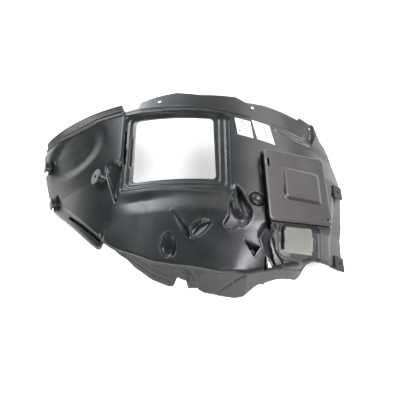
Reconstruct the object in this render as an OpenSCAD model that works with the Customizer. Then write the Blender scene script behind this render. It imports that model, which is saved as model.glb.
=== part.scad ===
// Front section of a car wheel arch liner: one thin moulded shell, a service cover and two stickers.
// Millimetres. X runs round the arch, Y points to the wing edge, Z is up; the shell stands on its ends.

/* [Shell] */
// Length over the two ends
span_x = 667; // [640:1:700]
// Height of the crown above the ends
crown_h = 150; // [140:1:160]
// Wall thickness of the moulding
wall_t = 2.5; // [2:0.1:3]
// Drop of the wing flange below the crown
flange_drop = 12; // [8:0.5:16]
// Deepest reach of the front wall under the ridge
front_wall_h = 114; // [100:1:117]
// Rise of the belly between the big window and the ridge
belly_rise = 7; // [4:0.5:10]
// Distance of the front wall behind the bead of its ridge
set_back = 3.2; // [2:0.2:4]
// Step down to the strip along the lower left edge
strip_drop = 5; // [3:0.5:8]
// Step down to the strip along the right end
end_drop = 4; // [2:0.5:6]

/* [Big window] */
// Opening along the arch
win_w = 165; // [150:1:168]
// Opening across the arch
win_l = 164; // [150:1:166]
// Corner radius of the opening
win_r = 8; // [4:0.5:14]
// Depth of the outer step of its sunk frame
win_frame_deep = 3.5; // [2:0.5:5]
// Further depth of the inner step
win_step_deep = 3; // [2:0.5:4]
// Depth of the ledge round that frame
win_ledge_deep = 2; // [1:0.5:3]

/* [Small window] */
// Opening along the arch
small_w = 58; // [50:1:62]
// Opening across the arch
small_l = 60; // [50:1:64]
// Corner radius of the opening
small_r = 4; // [3:0.5:8]
// Depth of its sunk frame
small_frame_deep = 5; // [3:0.5:7]

/* [Service cover] */
// Thickness of the cover plate
cover_t = 2.5; // [2:0.1:3]
// Length along the slope
cover_w = 164; // [155:1:170]
// Length across the arch
cover_l = 170; // [156:1:174]
// Corner radius of the plate
cover_r = 9; // [5:0.5:14]
// Height of the middle of the cover over the arch
cover_over = 2.8; // [2:0.1:4]
// Height of the raised panel on the cover
cover_panel_h = 3; // [2:0.5:4]
// Gap between the cover and its seat
cover_gap = 0.2; // [0.2:0.05:0.4]
// How far the foot of the seat reaches past the edge of the cover
seat_foot = 1; // [0.5:0.25:2]
// Access opening under the cover
access_w = 96; // [80:1:110]

/* [Holes] */
// Bore of the two wing flange holes
flange_bore = 8.5; // [7:0.1:10]
// Bore of the corner screw hole
corner_bore = 6; // [5:0.1:7]
// Bore of the tab and ear holes
tab_bore = 7; // [6:0.1:8]
// Bore of the seat boss hole
boss_bore = 7; // [6:0.1:8]
// Bore of the three small locating holes
pin_bore = 4; // [3:0.5:5]
// Outer diameter of the seat boss
boss_d = 34; // [30:0.5:38]
// Height of the seat boss wall
boss_h = 16; // [12:0.5:20]
// Diameter of the neck behind the seat boss
boss_neck_d = 20; // [16:0.5:24]
// Thickness of the tabs and ears
tab_t = 3; // [2.5:0.1:4]
// Width of the right tabs along the slope
tab_w = 26; // [22:0.5:30]
// Length of the right tabs across the arch
tab_l = 32; // [28:0.5:36]
// Diameter of the left ears
ear_d = 28; // [24:0.5:32]

/* [Pockets] */
// Depth of the lower oval pocket
oval_a_deep = 11; // [8:0.5:13]
// Depth of the upper oval pocket
oval_b_deep = 11; // [8:0.5:13]
// Depth of the wedge trough
wedge_deep = 7; // [5:0.5:10]
// Depth of the slot of the beak recess
beak_deep = 16; // [12:0.5:18]
// Height of the round dome over its ring groove
dome_h = 12; // [8:0.5:13]
// Diameter of the dome
dome_d = 27; // [24:0.5:30]
// Depth of its ring groove
dome_ring_deep = 3.5; // [2:0.5:5]
// Depth of the three-cornered recess
tri_deep = 8; // [5:0.5:11]
// Depth of the tapered groove
groove_deep = 15; // [10:0.5:17]
// Depth of the shallow dish at the left end
dish_deep = 8; // [5:0.5:10]
// Diameter of that dish
dish_d = 150; // [140:1:156]
// Depth of the blade recess beside the nose
blade_deep = 12; // [8:0.5:14]
// Depth of the slots beside the left ears
slot_deep = 10; // [5:0.5:11]
// Depth of the groove along the left edge of the cover
cover_groove_deep = 7; // [4:0.5:8]
// Fall of the nose towards its right rim
nose_fall = 5; // [3:0.5:7]

/* [Stickers] */
// Width of the left sticker
label_a_w = 33; // [28:1:34]
// Length of the left sticker
label_a_l = 45; // [38:1:48]
// Width of the right sticker
label_b_w = 38; // [32:1:39]
// Length of the right sticker
label_b_l = 50; // [42:1:52]
// Thickness of the stickers
label_t = 0.3; // [0.2:0.05:0.4]

/* [Hidden] */
$fn = 32;

// Round of the arch
mid_x = -7.5;
half_x = span_x / 2;
arch_r = (half_x * half_x + crown_h * crown_h) / (2 * crown_h);
x_first = mid_x - half_x;
x_last = mid_x + half_x;
// Where the left and right end zones begin
x_left_zone = -154;
x_right_zone = 186;

function arch_z(x) = sqrt(max(arch_r * arch_r - (x - mid_x) * (x - mid_x), 1)) - arch_r + crown_h;
function arch_tilt(x) = asin(min(max((x - mid_x) / arch_r, -0.95), 0.95));
function clamp01(t) = min(max(t, 0), 1);
// Straight distance into an outline, negative outside it
function edge_gap(p, a, b) =
    let (d = b - a, t = clamp01((p - a) * d / (d * d)))
    norm(p - a - d * t);
function crossed(p, a, b) =
    (a[1] > p[1]) != (b[1] > p[1]) && p[0] < a[0] + (p[1] - a[1]) * (b[0] - a[0]) / (b[1] - a[1]);
function depth_in(p, loop) =
    let (
        n = len(loop),
        gap = min([for (i = [0 : n - 1]) edge_gap(p, loop[i], loop[(i + 1) % n])]),
        hits = len([for (i = [0 : n - 1]) if (crossed(p, loop[i], loop[(i + 1) % n])) 1])
    ) hits % 2 == 1 ? gap : -gap;
function ease(a, b, t) = let (q = clamp01((t - a) / (b - a))) q * q * (3 - 2 * q);
function mix(a, b, t) = a + (b - a) * t;
function along(dx, dy, turn) = dx * cos(turn) + dy * sin(turn);
function across(dx, dy, turn) = dy * cos(turn) - dx * sin(turn);

// Plan outline: wing edge, inner edge of the flange and start of the crown, by place along the arch
wing_edge = [[-341, 184], [-152, 184], [-146, 181], [-120, 185], [-112, 200], [-79, 210], [-36, 218], [16, 212],
    [94, 216], [116, 205], [156, 209], [239, 205], [245, 215], [268, 213], [280, 210], [289, 187], [296, 166],
    [304, 157], [311, 139], [322, 112], [326, 96]];
flange_inner = [[-341, 176], [-152, 176], [-113, 180], [-36, 178], [16, 176], [94, 167], [156, 158], [231, 151],
    [262, 151], [277, 176], [289, 184], [296, 163], [304, 154], [311, 136], [322, 109], [326, 93]];
crown_start = [[-341, 158], [-152, 158], [16, 156], [94, 151], [165, 147], [182, 130], [231, 122], [262, 126],
    [277, 160], [289, 180], [296, 159], [304, 150], [311, 132], [322, 105], [326, 89]];
// Front edge of the crown and reach of the wall below it
ridge_edge = [[-341, 3], [-307, -35], [-254, -89], [-205, -138], [-184, -156], [-176, -158], [-169, -148], [-134, -177],
    [-73, -208], [-28, -219], [51, -233], [100, -227], [128, -214], [163, -200], [204, -184], [225, -171],
    [247, -160], [285, -153], [326, -144]];
wall_reach = [[-341, 8], [-140, 8], [-131, 15], [-119, 31], [-106, 52], [-80, 73], [-59, 84], [-42, 93], [-34, 88],
    [-25.5, 50], [-7.5, 60], [-6.5, 96], [14, 89], [23.5, 98], [46, 96], [69, 105], [83, 114], [98, 103], [110, 84],
    [121, 68], [140, 60], [160, 55], [190, 66], [207, 74], [217, 57], [225, 13], [240, 8], [326, 8]];
// Left and right end lines by place across the arch
left_end = [[3, -304], [29, -313], [60, -322], [112, -336], [146, -341], [184, -337]];
right_end = [[-150, 303], [-126, 306], [-73, 309], [-43, 315], [16, 322], [59, 326], [86, 321], [118, 317],
    [136, 319], [156, 318], [185, 315], [215, 318]];

// Big window and its frame
win_mid = [-35, 61];
win_x0 = win_mid[0] - win_w / 2;
win_x1 = win_mid[0] + win_w / 2;
win_y0 = win_mid[1] - win_l / 2;
win_y1 = win_mid[1] + win_l / 2;
frame_x0 = -141;
frame_x1 = 69;
frame_y0 = -43;
frame_y1 = 155;
step_x0 = -130;
step_x1 = 57;
step_y0 = -30;
step_y1 = 150;
ledge_x1 = 79;
// Lower edge of the ledge, by place along the arch
ledge_edge = [[-147, -43], [-81, -46], [-32, -50.5], [16, -54], [56, -54], [66, -60], [79, -62]];
frame_soft = 4;

// Small window and its frame
small_mid = [206, -130];
small_frame = [[168, -82], [162, -179], [247, -162], [262, -80]];

// Cover plane and outline: a box that rises to the right and leans a little to the left
cover_x = 214.7;
cover_y = -6.3;
cover_mid = [cover_x, cover_y, arch_z(cover_x) + cover_over];
cover_tilt = arch_tilt(cover_x) + 3.5;
cover_rise = 0.262;
cover_lean = 0.022;
seat_clear = (cover_t + cover_gap) / cos(cover_tilt);
access_l = access_w * 0.9;
panel_w = 99;
panel_l = 79;
function leaning(w, l, rise, lean) = [
    [-w / 2 + lean * l / 2, -l / 2 - rise * w / 2], [w / 2 + lean * l / 2, -l / 2 + rise * w / 2],
    [w / 2 - lean * l / 2, l / 2 + rise * w / 2], [-w / 2 - lean * l / 2, l / 2 - rise * w / 2]];

function cover_z(x) = cover_mid[2] - (x - cover_mid[0]) * tan(cover_tilt);
function seat_z(x) = cover_z(x) - seat_clear;
// Distances in plan from the left, right, lower and upper edge of the cover, positive inside
function cover_place(x, y) =
    let (
        dx = x - cover_x + cover_lean * (y - cover_y),
        dy = y - cover_y - dx * cover_rise / cos(cover_tilt),
        half_w = cover_w * cos(cover_tilt) / 2
    ) [dx + half_w, half_w - dx, dy + cover_l / 2, cover_l / 2 - dy];
// 1 on the seat of the cover, falling to 0 over a short wall; the seat runs on a little below the cover
function seat_in(x, y) =
    let (c = cover_place(x, y))
    ease(-seat_foot, 3, c[0]) * ease(-seat_foot, 3, c[1]) * ease(-14, -4, c[2]) * ease(-seat_foot, 4, c[3]);
function under_cover(x, y) =
    let (c = cover_place(x, y))
    ease(-4, -1, c[0]) * ease(-4, -1, c[1]) * ease(-5, -2, c[2]);

// 1 inside an oval, falling to 0 at its rim; flat is the part of the radius with a level floor
function oval_in(x, y, mid, size, turn, flat) =
    let (
        a = along(x - mid[0], y - mid[1], turn) * 2 / size[0],
        b = across(x - mid[0], y - mid[1], turn) * 2 / size[1]
    ) 1 - ease(flat, 1, sqrt(a * a + b * b));
// 1 inside a box, falling to 0 over the soft edge
function box_in(x, y, x0, x1, y0, y1, soft) =
    ease(x0, x0 + soft, x) * ease(-x1, -x1 + soft, -x) * ease(y0, y0 + soft, y) * ease(-y1, -y1 + soft, -y);
// 1 on a line from p to q, falling to 0 at half the width, which changes from wp to wq
function strip_in(x, y, p, q, wp, wq, flat) =
    let (
        d = q - p,
        n = norm(d),
        t = clamp01(((x - p[0]) * d[0] + (y - p[1]) * d[1]) / (n * n)),
        f = norm([x - p[0] - d[0] * t, y - p[1] - d[1] * t])
    ) 1 - ease(flat, 1, f * 2 / mix(wp, wq, t));

function window_drop(x, y) =
    win_frame_deep * box_in(x, y, frame_x0, frame_x1, frame_y0, frame_y1, frame_soft)
    + win_step_deep * box_in(x, y, step_x0, step_x1, step_y0, step_y1, frame_soft)
    + win_ledge_deep * box_in(x, y - lookup(x, ledge_edge), frame_x0, ledge_x1, 0, 203, frame_soft);
function small_drop(x, y) = small_frame_deep * ease(0, 4, depth_in([x, y], small_frame));

// Beak recess: outline, the line of its crest by place across the arch, and its section across that line
beak_loop = [[84, -34], [76, -52], [70, -82], [68, -107], [59, -130], [70, -142], [88, -132], [97, -131], [109, -119],
    [116, -98], [111, -75], [97, -44]];
beak_crest = [[-141, 96], [-98, 91], [-64, 84.5], [-41, 82]];
beak_section = [[-20, 0.22], [-9, 0.5], [-6, 0.5], [-0.5, 0.19], [1.5, 0.2], [5.5, 1], [9, 0.95], [25, 0.35]];
function beak_drop(x, y) =
    let (
        split = lookup(x - lookup(y, beak_crest), beak_section),
        bowl = mix(0.47, 0.75, ease(62, 88, x)) * (1 - 0.45 * ease(-118, -140, y))
    ) beak_deep * mix(bowl, split, ease(-114, -90, y)) * ease(0, 4, depth_in([x, y], beak_loop));

// Three-cornered recess, blade recess with its steep lower left side, and the tapered groove
tri_loop = [[97, -161.5], [125.5, -167.5], [113.5, -189]];
blade_loop = [[163, -96], [140, -111], [123, -140], [125, -156], [140, -181], [156, -200], [150, -171], [147, -151],
    [149, -139], [160, -116]];
groove_loop = [[-176, 38], [-142, 38], [-140, 20], [-144, -52], [-149, -66], [-164, -22], [-176, 18]];
function pocket_drop(x, y) =
    let (p = [x, y])
    oval_a_deep * oval_in(x, y, [-41, -177], [34, 56], 8, 0.35)
    + oval_b_deep * oval_in(x, y, [15, -143], [54, 34], 42, 0.3)
    + wedge_deep * strip_in(x, y, [-33, -104], [-9, -150], 12, 22, 0.1)
    + tri_deep * clamp01(depth_in(p, tri_loop) / 6)
    + blade_deep * ease(0, 4, depth_in(p, blade_loop)) * mix(0.1, 1, clamp01((158 - x) / 28))
    + groove_deep * ease(0, 6, depth_in(p, groove_loop)) * mix(0.2, 1, clamp01((x + 171) / 23))
    + dish_deep * oval_in(x, y, [-255, 112], [dish_d, dish_d], 0, 0.55)
    + cover_groove_deep * strip_in(x, y, [140.5, 62], [147.5, -115], 9, 12, 0.25)
    + slot_deep * max(strip_in(x, y, [-314, 118], [-312, 84], 16, 16, 0.2), strip_in(x, y, [-288, 20], [-284, -6], 15, 15, 0.2));

// Dome standing in a ring groove
dome_mid = [127, -60];
function dome_rise(x, y) =
    let (r = norm([x, y] - dome_mid), q = clamp01(2 * r / dome_d))
    dome_h * sqrt(1 - q * q) - dome_ring_deep * (1 - ease(dome_d / 2 + 1, dome_d / 2 + 5, r));

// Nose: its right rim, the line where it starts to fall, the fold beside the blade recess and the soft crease of the belly
rim_line = [[-213, 134], [-197, 131], [-175, 131], [-140, 123], [-111, 140], [-55, 141]];
fall_line = [[-226, 80], [-199, 83], [-163, 91], [-133, 97]];
fold_line = [[-187, 169], [-169, 157], [-135, 152], [-101, 164]];
belly_line = [[-179, 3], [-149, -4], [-107, -18], [-50, -33]];
function swell(x, y) =
    let (beyond = ease(-1, 6, x - lookup(y, rim_line)))
    belly_rise * ease(-55, -105, y) * ease(-150, -90, x) * (1 - beyond)
    - nose_fall * clamp01((x - lookup(y, fall_line)) / 42) * ease(-112, -135, y) * (1 - beyond)
    - 4.2 * clamp01((lookup(y, belly_line) - x) / 60) * ease(-50, -75, y) * ease(-150, -100, x)
    - 3 * beyond * ease(-2, 3, lookup(y, fold_line) - x) * ease(-90, -110, y)
    + 3 * max(strip_in(x, y, [168, 150], [239, 146], 8, 8, 0.2), strip_in(x, y, [176, 139], [239, 136], 8, 8, 0.2))
    + dome_rise(x, y);
// Stepped strip along the lower left edge, the fold at the left end and the strip down the right end
function edge_drop(y, s) =
    strip_drop * (1 - ease(22, 28, y - lookup(s, ridge_edge))) * ease(-336, -330, s) * (1 - ease(-173, -167, s))
    + 4 * (1 - ease(x_first, -329, s))
    + end_drop * ease(0, 7, s - mix(299, 286, ease(0, -140, y))) * (1 - ease(24, 34, y));
function face_z(x, y, s) =
    let (base = arch_z(s) + swell(x, y) - pocket_drop(x, y) - beak_drop(x, y) - window_drop(x, y) - edge_drop(y, s)
        - 8 * strip_in(x, y, [-246, -58], [-165, -152], 8, 8, 0.25))
    mix(base, seat_z(x), seat_in(x, y)) - small_drop(x, y) * (1 - under_cover(x, y));

// Columns along the arch
cols = concat(
    [x_first, -330, -316, -300, -284, -268, -252, -236, -220, -205, -192, -180, -170, -162, -154],
    [-148, -142, -138, -131, -126, -118, -106, -92, -77, -62, -53, -44, -35, -27, -19, -11, -3, 5, 13, 21, 29, 37, 45],
    [51, 57, 61, 66, 71, 76, 80, 85, 90, 95, 101, 108, 115, 121, 127, 133, 139, 145, 151, 157, 163, 170, 178, 186],
    [196, 207, 218, 230, 245, 258, 270, 280, 290, 298, 306, 316, x_last]);
// Rows across the crown between the flange and the front zone
mid_rows = [155, 149, 142, 122, 100, 78, 56, 34, 12, -10, -28, -34, -42, -47, -51];
front_n = 15;

// Plan place of a row: 0 to 3 flange and slope, then the crown, then the front zone, then the wall
n_mid = len(mid_rows);
row_front = 4 + n_mid;
row_wall = row_front + front_n;
n_rows = row_wall + 5;
function mid_end(s) = let (f = lookup(s, ridge_edge)) max(mid_rows[n_mid - 1], mix(f, lookup(s, crown_start), 0.3));
function row_y(s, j) =
    j == 0 ? lookup(s, wing_edge)
    : j == 1 ? lookup(s, flange_inner)
    : j == 2 ? mix(lookup(s, flange_inner), lookup(s, crown_start), 0.45)
    : j == 3 ? lookup(s, crown_start) + 1
    : j < row_front ? mix(mid_end(s), lookup(s, crown_start) - 1,
        (mid_rows[j - 4] - mid_rows[n_mid - 1]) / (mid_rows[0] - mid_rows[n_mid - 1]))
    : j < row_wall ? mix(mid_end(s), lookup(s, ridge_edge) + 7, (j - row_front + 1) / front_n)
    : j == row_wall ? lookup(s, ridge_edge) + 2
    : j == row_wall + 1 ? lookup(s, ridge_edge)
    : lookup(s, ridge_edge) + set_back * ease(14, 30, wall_h(s));
// Left rim, flange and slope heights of the first rows, and the wall below the last ones
function wall_h(s) = min(max(lookup(s, wall_reach) * front_wall_h / 114, 8), arch_z(s) * 0.75 + 3);
function row_z(s, j) =
    let (
        rim = 1 - ease(-151, -146.5, s),
        h = wall_h(s),
        drop = flange_drop * ease(0, 50, arch_z(s)) * (1 - ease(268, 288, s))
    )
    j == 0 ? mix(-drop, -1, rim)
    : j == 1 ? mix(-drop, 9, rim)
    : j == 2 ? mix(-drop * 0.55, 4, rim)
    : j == 3 ? mix(-1, 0, rim)
    : j == row_wall ? -min(2, h / 6)
    : j == row_wall + 1 ? -min(6, h / 2)
    : j == row_wall + 2 ? -min(10, h * 0.7)
    : j == row_wall + 3 ? -mix(min(10, h * 0.7), h, 0.45)
    : j == row_wall + 4 ? -h
    : 0;
function col_x(s, y) =
    s < x_left_zone ? mix(x_left_zone, lookup(y, left_end), (x_left_zone - s) / (x_left_zone - x_first))
    : s > x_right_zone ? mix(x_right_zone, lookup(y, right_end), (s - x_right_zone) / (x_last - x_right_zone))
    : s;
function skin(i, j) =
    let (s = cols[i], y = row_y(s, j), x = col_x(s, y))
    [x, y, face_z(x, y, s) + row_z(s, j)];
n_cols = len(cols);
outer = [for (i = [0 : n_cols - 1]) [for (j = [0 : n_rows - 1]) skin(i, j)]];
function unit(v) = v / norm(v);
function face_normal(i, j) =
    let (
        a = outer[min(i + 1, n_cols - 1)][j] - outer[max(i - 1, 0)][j],
        b = outer[i][max(j - 1, 0)] - outer[i][min(j + 1, n_rows - 1)]
    ) unit(cross(a, b));
inner = [for (i = [0 : n_cols - 1]) [for (j = [0 : n_rows - 1]) outer[i][j] - wall_t * face_normal(i, j)]];

low = min([for (c = inner) for (p = c) p[2]]);
left = min([for (c = outer) for (p = c) p[0]]);
right = max([for (c = outer) for (p = c) p[0]]);
back = max([for (c = outer) for (p = c) p[1]]);
front = min([for (c = outer) for (p = c) p[1]]);
base = [(left + right) / 2, (front + back) / 2, low];

module place() {
    translate(-base) children();
}

module shell() {
    pts = concat([for (c = outer) for (p = c) p], [for (c = inner) for (p = c) p]);
    half = n_cols * n_rows;
    function at(i, j, k) = i * n_rows + j + k * half;
    top = [for (i = [0 : n_cols - 2]) for (j = [0 : n_rows - 2]) each [
        [at(i, j, 0), at(i + 1, j, 0), at(i + 1, j + 1, 0)],
        [at(i, j, 0), at(i + 1, j + 1, 0), at(i, j + 1, 0)]]];
    under = [for (i = [0 : n_cols - 2]) for (j = [0 : n_rows - 2]) each [
        [at(i, j, 1), at(i + 1, j + 1, 1), at(i + 1, j, 1)],
        [at(i, j, 1), at(i, j + 1, 1), at(i + 1, j + 1, 1)]]];
    ends = [for (j = [0 : n_rows - 2]) each [
        [at(0, j, 0), at(0, j + 1, 0), at(0, j + 1, 1)],
        [at(0, j, 0), at(0, j + 1, 1), at(0, j, 1)],
        [at(n_cols - 1, j, 0), at(n_cols - 1, j + 1, 1), at(n_cols - 1, j + 1, 0)],
        [at(n_cols - 1, j, 0), at(n_cols - 1, j, 1), at(n_cols - 1, j + 1, 1)]]];
    sides = [for (i = [0 : n_cols - 2]) each [
        [at(i, 0, 0), at(i + 1, 0, 1), at(i + 1, 0, 0)],
        [at(i, 0, 0), at(i, 0, 1), at(i + 1, 0, 1)],
        [at(i, n_rows - 1, 0), at(i + 1, n_rows - 1, 0), at(i + 1, n_rows - 1, 1)],
        [at(i, n_rows - 1, 0), at(i + 1, n_rows - 1, 1), at(i, n_rows - 1, 1)]]];
    polyhedron(points = pts, faces = concat(top, under, ends, sides));
}

module rounded(pts, r) {
    offset(r = r) offset(delta = -r) polygon(pts);
}

module window_cuts() {
    translate([0, 0, 60]) linear_extrude(height = 140) rounded(
        [[win_x0, win_y0], [win_x1, win_y0 + 3], [win_x1 - 4, win_y1 - 2], [win_x0 - 2, win_y1]], win_r);
    translate([small_mid[0], small_mid[1], 20]) linear_extrude(height = 140) rounded(
        [[-small_w / 2 - 5, -small_l / 2 - 6], [small_w / 2 - 3, -small_l / 2 + 8],
        [small_w / 2 + 5, small_l / 2 + 6], [-small_w / 2 + 4, small_l / 2 - 2]], small_r);
    translate([cover_x, cover_y, seat_z(cover_x)]) rotate([0, cover_tilt, 0])
        translate([0, 0, -40]) linear_extrude(height = 60)
            rounded(leaning(access_w, access_l, cover_rise, cover_lean), 6);
    // Key notch in the right side of the small window, and the open sliver beside the blade recess
    translate([small_mid[0] + small_w / 2, small_mid[1] + 8, 20]) linear_extrude(height = 140)
        square([10, 40], center = true);
    translate([0, 0, 60]) linear_extrude(height = 110) polygon([[143, -186], [138, -204], [149, -202]]);
    for (spot = pin_holes) translate([spot[0], spot[1], arch_z(spot[0])]) rotate([0, arch_tilt(spot[0]), 0])
        cylinder(h = 24, d = pin_bore, center = true, $fn = 24);
}

pin_holes = [[-162, 74], [100, 81], [252, -121]];
// A bore standing square to the arch at a place on the flange
flange_holes = [[-72, 196], [131, 194]];
corner_hole = [266, 199];
module arch_bore(spot, d) {
    translate([spot[0], spot[1], arch_z(spot[0]) - flange_drop]) rotate([0, arch_tilt(spot[0]), 0])
        cylinder(h = 24, d = d, center = true, $fn = 48);
}

// A screw tab lying on the slope of an end: place of its hole, tilt about Y and turn about Z
ears = [[[-330, 115, 15], -70, 4], [[-306, 9, 15], -70, 12]];
tabs = [[[314, 38, 15], 37, 0], [[296, -138, 14], 37, 0]];
module tab_frame(spot) {
    translate(spot[0]) rotate([0, 0, spot[2]]) rotate([0, spot[1], 0]) children();
}

module ear_body() {
    translate([0, 0, -tab_t]) cylinder(h = tab_t, d = ear_d, $fn = 48);
    translate([0, 0, -12]) cylinder(h = 11, d = ear_d - 8, $fn = 48);
}

module tab_body() {
    translate([0, 0, -tab_t / 2]) linear_extrude(height = tab_t) offset(r = 3) square([tab_w - 6, tab_l - 6], center = true);
    translate([-tab_w / 2 + 1, -tab_l / 2 + 2, -8]) cube([tab_w * 0.3, tab_l - 4, 8]);
}

// The round seat that stands off the left slope: a neck with a wider pad on its end
boss_spot = [-194, 1, 122];
boss_turn = -52;
module boss_solid() {
    translate(boss_spot) rotate([0, boss_turn, 0]) {
        translate([0, 0, -tab_t]) cylinder(h = tab_t, d = boss_d, $fn = 48);
        translate([0, 0, -boss_h - 8]) cylinder(h = boss_h + 7, d = boss_neck_d, $fn = 48);
    }
}

module panel_body() {
    difference() {
        union() {
            shell();
            for (spot = ears) tab_frame(spot) ear_body();
            for (spot = tabs) tab_frame(spot) tab_body();
            boss_solid();
        }
        window_cuts();
        for (spot = flange_holes) arch_bore(spot, flange_bore);
        arch_bore(corner_hole, corner_bore);
        for (spot = concat(ears, tabs)) tab_frame(spot) cylinder(h = 40, d = tab_bore, center = true, $fn = 48);
        translate(boss_spot) rotate([0, boss_turn, 0]) cylinder(h = 2 * boss_h, d = boss_bore, center = true, $fn = 48);
    }
}

module liner_panel() {
    color("dimgray") place() panel_body();
}

// Finger slots near two corners of the cover: place from its middle, length and width
cover_slots = [[[-cover_w / 2 + 7, cover_l / 2 - 51.5], [7, 22]], [[cover_w / 2 - 6, -cover_l / 2 + 32], [13, 8]]];
module cover_plate() {
    difference() {
        cover_blank();
        translate(cover_mid) rotate([0, cover_tilt, 0])
            for (s = cover_slots) translate([s[0][0], s[0][1], 0]) linear_extrude(height = 12, center = true)
                rounded([[-s[1][0], -s[1][1]] / 2, [s[1][0], -s[1][1]] / 2, [s[1][0], s[1][1]] / 2, [-s[1][0], s[1][1]] / 2], 3);
    }
}

module cover_blank() {
    translate(cover_mid) rotate([0, cover_tilt, 0]) {
        translate([0, 0, -cover_t]) linear_extrude(height = cover_t)
            rounded(leaning(cover_w, cover_l, cover_rise, cover_lean), cover_r);
        translate([10.5, 7, 0]) linear_extrude(height = cover_panel_h, scale = 0.88)
            rounded(leaning(panel_w, panel_l, 0.204, 0), 7);
    }
}

module service_cover() {
    color("darkslategray") place() cover_plate();
}

// A thin sticker following the round of the arch, leaning a little to the left and falling to the right
module sticker(mid, w, l, lean) {
    lift = 0.15;
    fall = 0.055 * w;
    intersection() {
        translate([mid_x, mid[1], crown_h - arch_r]) rotate([90, 0, 0]) difference() {
            cylinder(h = l * 2, r = arch_r + lift + label_t, center = true, $fn = 256);
            cylinder(h = l * 2 + 2, r = arch_r + lift, center = true, $fn = 256);
        }
        translate([mid[0], mid[1], 60]) linear_extrude(height = 120) polygon([[-w / 2 + lean, -l / 2 + fall],
            [w / 2 + lean, -l / 2 - fall], [w / 2 - lean, l / 2 - fall], [-w / 2 - lean, l / 2 + fall]]);
    }
}

module sticker_a() {
    color("white") place() sticker([108, 119], label_a_w, label_a_l, 2.5);
}

module sticker_b() {
    color("white") place() sticker([149.5, 118], label_b_w, label_b_l, 5);
}

liner_panel();
service_cover();
sticker_a();
sticker_b();
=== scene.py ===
import math
import bpy
import numpy as np
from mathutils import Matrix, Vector


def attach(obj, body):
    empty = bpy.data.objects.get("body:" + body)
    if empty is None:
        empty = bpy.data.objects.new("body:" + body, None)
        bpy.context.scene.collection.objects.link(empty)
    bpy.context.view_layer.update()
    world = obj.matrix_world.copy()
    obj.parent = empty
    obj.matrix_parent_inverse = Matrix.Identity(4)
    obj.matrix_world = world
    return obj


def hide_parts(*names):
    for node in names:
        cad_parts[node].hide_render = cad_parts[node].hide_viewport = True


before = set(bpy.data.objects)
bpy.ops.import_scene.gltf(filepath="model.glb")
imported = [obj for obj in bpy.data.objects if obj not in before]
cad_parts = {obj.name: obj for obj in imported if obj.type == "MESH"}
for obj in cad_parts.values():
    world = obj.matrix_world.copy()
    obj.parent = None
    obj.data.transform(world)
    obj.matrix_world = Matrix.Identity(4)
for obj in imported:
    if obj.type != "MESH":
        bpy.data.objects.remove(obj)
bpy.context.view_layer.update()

# Everything below is drawn in millimetres round the drawing's zero, then moved into the frame in metres.
arch = {
    "midX": -7.5,
    "halfSpan": 333.5,
    "crownHeight": 150.0,
    "wall": 2.5,
    "toFrame": (7.65539, 7.55769, 7.0),
}
arch["radius"] = (arch["halfSpan"] ** 2 + arch["crownHeight"] ** 2) / (2 * arch["crownHeight"])


def ease(a, b, t):
    q = np.clip((t - a) / (b - a), 0, 1)
    return q * q * (3 - 2 * q)


def mix(a, b, t):
    return a + (b - a) * t


def lookup(t, table):
    table = np.asarray(table, float)
    return np.interp(t, table[:, 0], table[:, 1])


def curve(t, table):
    # like lookup, with a soft start and end to each stretch
    table = np.asarray(table, float)
    t = np.asarray(t, float)
    i = np.clip(np.searchsorted(table[:, 0], t) - 1, 0, len(table) - 2)
    return mix(table[i, 1], table[i + 1, 1], ease(table[i, 0], table[i + 1, 0], t))


def archZ(x):
    rest = np.maximum(arch["radius"] ** 2 - (x - arch["midX"]) ** 2, 1)
    return np.sqrt(rest) - arch["radius"] + arch["crownHeight"]


def archTilt(x):
    return math.asin((x - arch["midX"]) / arch["radius"])


def toFrame(points):
    return (np.asarray(points, float) + np.array(arch["toFrame"])) / 1000


def roundedLoop(points, radius, steps=5):
    # corners of a polygon turned into arcs
    pts = np.asarray(points, float)
    loop = []
    for i in range(len(pts)):
        p, before, after = pts[i], pts[i - 1], pts[(i + 1) % len(pts)]
        a, b = before - p, after - p
        a, b = a / np.linalg.norm(a), b / np.linalg.norm(b)
        half = math.acos(max(min(float(a @ b), 0.9999), -0.9999)) / 2
        reach = radius / math.tan(half)
        middle = (a + b) / np.linalg.norm(a + b)
        centre = p + middle * radius / math.sin(half)
        start, end = p + a * reach - centre, p + b * reach - centre
        t0, t1 = math.atan2(start[1], start[0]), math.atan2(end[1], end[0])
        turn = (t1 - t0 + math.pi) % (2 * math.pi) - math.pi
        for k in range(steps + 1):
            t = t0 + turn * k / steps
            loop.append(centre + radius * np.array([math.cos(t), math.sin(t)]))
    return np.array(loop)


def smoothLoop(points, steps=5):
    # a closed curve through the points
    pts = np.asarray(points, float)
    loop = []
    for i in range(len(pts)):
        p0, p1, p2, p3 = pts[i - 1], pts[i], pts[(i + 1) % len(pts)], pts[(i + 2) % len(pts)]
        for k in range(steps):
            t = k / steps
            loop.append(0.5 * (2 * p1 + (p2 - p0) * t + (2 * p0 - 5 * p1 + 4 * p2 - p3) * t * t
                               + (3 * p1 - p0 - 3 * p2 + p3) * t ** 3))
    return np.array(loop)


def circleLoop(mid, radius, count):
    t = np.arange(count) * 2 * math.pi / count
    return np.stack([mid[0] + radius * np.cos(t), mid[1] + radius * np.sin(t)], 1)


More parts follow.
